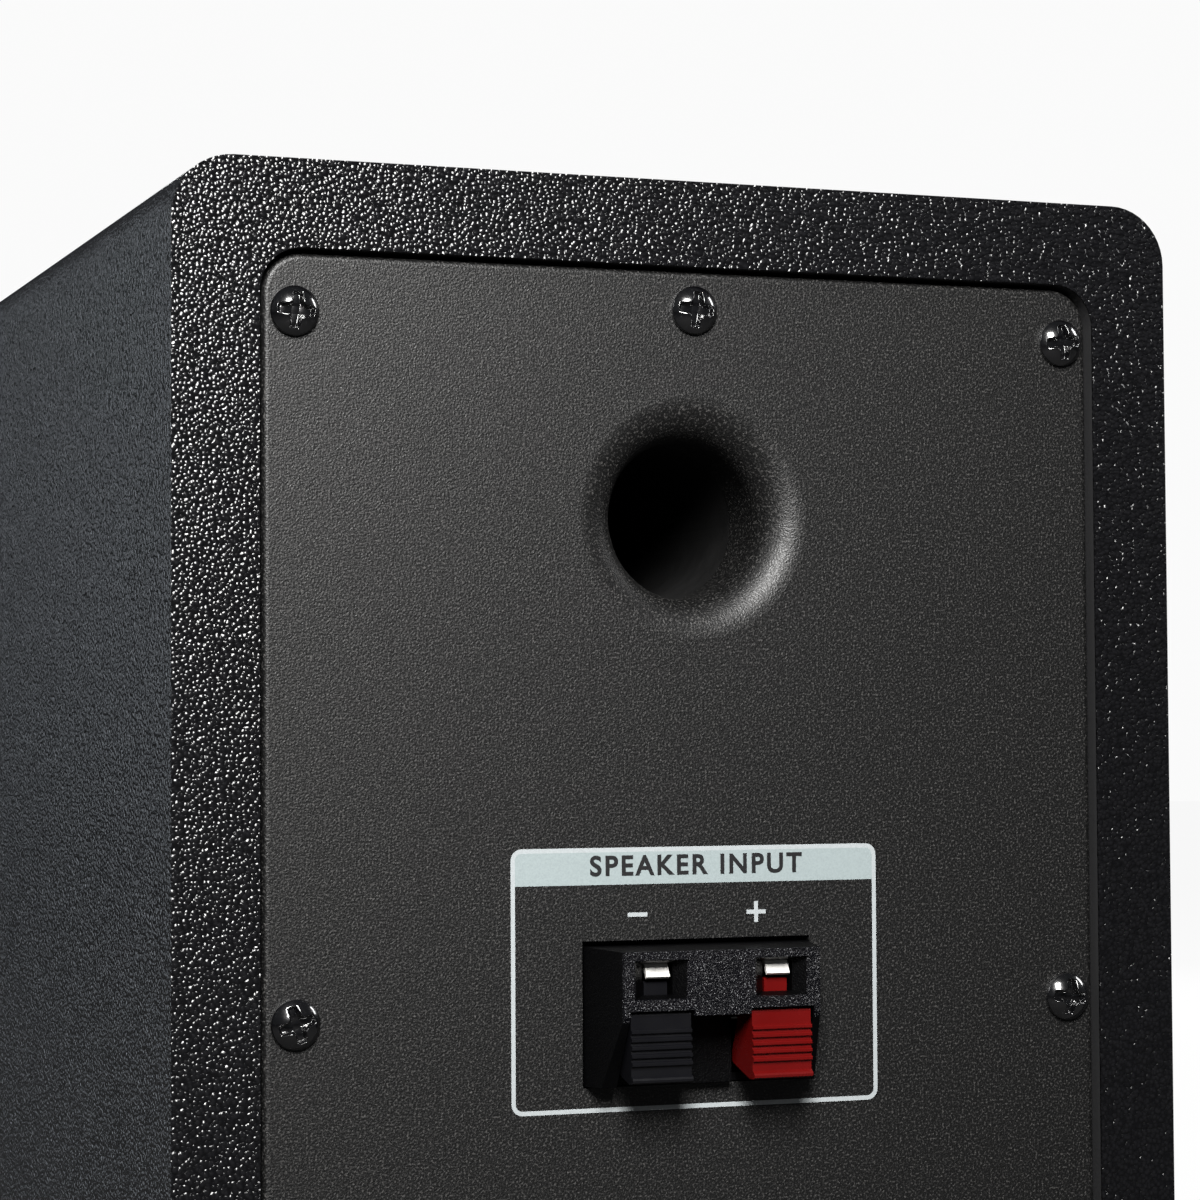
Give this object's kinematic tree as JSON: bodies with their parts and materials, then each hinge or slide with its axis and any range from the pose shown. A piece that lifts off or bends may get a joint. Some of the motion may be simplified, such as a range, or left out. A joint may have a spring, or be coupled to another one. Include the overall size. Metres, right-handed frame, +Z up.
{
  "type": "bookshelf speaker",
  "caption": "Small two-way bass-reflex bookshelf speaker in black vinyl, with a rear port, a sunk rear plate and sprung push-lever wire terminals.",
  "frame": {"origin": "on the ground, under the middle of the whole speaker", "axes": "+Z up, the drivers face -Y, the port and terminals are on the +Y side, +X to the right seen from the front"},
  "size_m": [0.141, 0.1748, 0.22],
  "materials": {
    "mdf": "raw fibreboard",
    "vinyl": "pebble-grain vinyl laminate",
    "baffle": "satin black lacquer on fibreboard",
    "plate": "moulded, fine spark texture",
    "black_plastic": "moulded black",
    "lever_black": "moulded black, semi-gloss",
    "lever_red": "moulded red, semi-gloss",
    "foam": "closed-cell foam",
    "foot": "rubber",
    "surround": "smooth rubber",
    "black_steel": "black zinc",
    "steel": "plain steel",
    "tin": "tinned",
    "paper_cone": "coated paper",
    "spider": "resin-stiffened cloth",
    "dome": "coated silk",
    "kapton": "amber film",
    "copper": "enamelled copper",
    "ferrite": "sintered ferrite",
    "board": "phenolic board",
    "capacitor": "sleeved can",
    "resistor": "cement body",
    "wire": "insulated wire",
    "felt": "polyester wadding"
  },
  "bodies": {
    "cabinet": {"bottom_panel": "mdf", "contact_negative": "tin", "contact_positive": "tin", "corner_glue_blocks": "mdf", "crossover_board": "board", "crossover_capacitor": "capacitor", "crossover_inductor_bobbin": "black_plastic", "crossover_inductor_winding": "copper", "crossover_resistor": "resistor", "crossover_screws": "steel", "crossover_standoffs": "black_plastic", "damping_pad_left": "felt", "damping_pad_right": "felt", "damping_pad_top": "felt", "front_baffle": "baffle", "input_wire_negative": "wire", "input_wire_positive": "wire", "left_side_panel": "mdf", "lever_spring_negative": "steel", "lever_spring_positive": "steel", "port_tube": "black_plastic", "rear_frame": "mdf", "rear_frame_vinyl": "vinyl", "rear_plate": "plate", "rear_plate_gasket": "foam", "rear_plate_screws": "black_steel", "right_side_panel": "mdf", "rubber_feet": "foot", "terminal_housing": "black_plastic", "terminal_pivot_pin": "steel", "terminal_push_nuts": "steel", "top_panel": "mdf", "tweeter_faceplate": "black_plastic", "tweeter_magnet": "ferrite", "tweeter_screws": "black_steel", "tweeter_surround": "dome", "tweeter_top_plate": "steel", "tweeter_wires": "wire", "tweeter_yoke": "steel", "vinyl_wrap": "vinyl", "woofer_basket": "black_steel", "woofer_gasket": "foam", "woofer_magnet": "ferrite", "woofer_screws": "black_steel", "woofer_spider": "spider", "woofer_surround": "surround", "woofer_top_plate": "steel", "woofer_trim_ring": "black_plastic", "woofer_wires": "wire", "woofer_yoke": "steel"},
    "lever_negative": {"lever_negative": "lever_black"},
    "lever_positive": {"lever_positive": "lever_red"},
    "woofer_diaphragm": {"woofer_cone": "paper_cone", "woofer_dust_cap": "paper_cone", "woofer_coil_former": "kapton", "woofer_voice_coil": "copper"},
    "tweeter_diaphragm": {"tweeter_dome": "dome", "tweeter_voice_coil": "copper"}
  },
  "joints": [
    {"name": "lever_negative_press", "type": "hinge", "parent": "cabinet", "child": "lever_negative", "pos_m": [0.0084, 0.0786, 0.11035], "axis": [-1, 0, 0], "range_deg": [0, 8], "stiffness_Nm_per_rad": 0.02, "springref_deg": -20.05, "deforming": ["lever_spring_negative"]},
    {"name": "lever_positive_press", "type": "hinge", "parent": "cabinet", "child": "lever_positive", "pos_m": [-0.0084, 0.0786, 0.11035], "axis": [-1, 0, 0], "range_deg": [0, 8], "stiffness_Nm_per_rad": 0.02, "springref_deg": -20.05, "deforming": ["lever_spring_positive"]},
    {"name": "woofer_excursion", "type": "slide", "parent": "cabinet", "child": "woofer_diaphragm", "axis": [0, -1, 0], "range_m": [-0.003, 0.003], "stiffness_N_per_m": 1000, "deforming": ["woofer_surround", "woofer_spider"]},
    {"name": "tweeter_excursion", "type": "slide", "parent": "cabinet", "child": "tweeter_diaphragm", "axis": [0, -1, 0], "range_m": [-0.0003, 0.0003], "stiffness_N_per_m": 1000, "deforming": ["tweeter_surround"]}
  ]
}
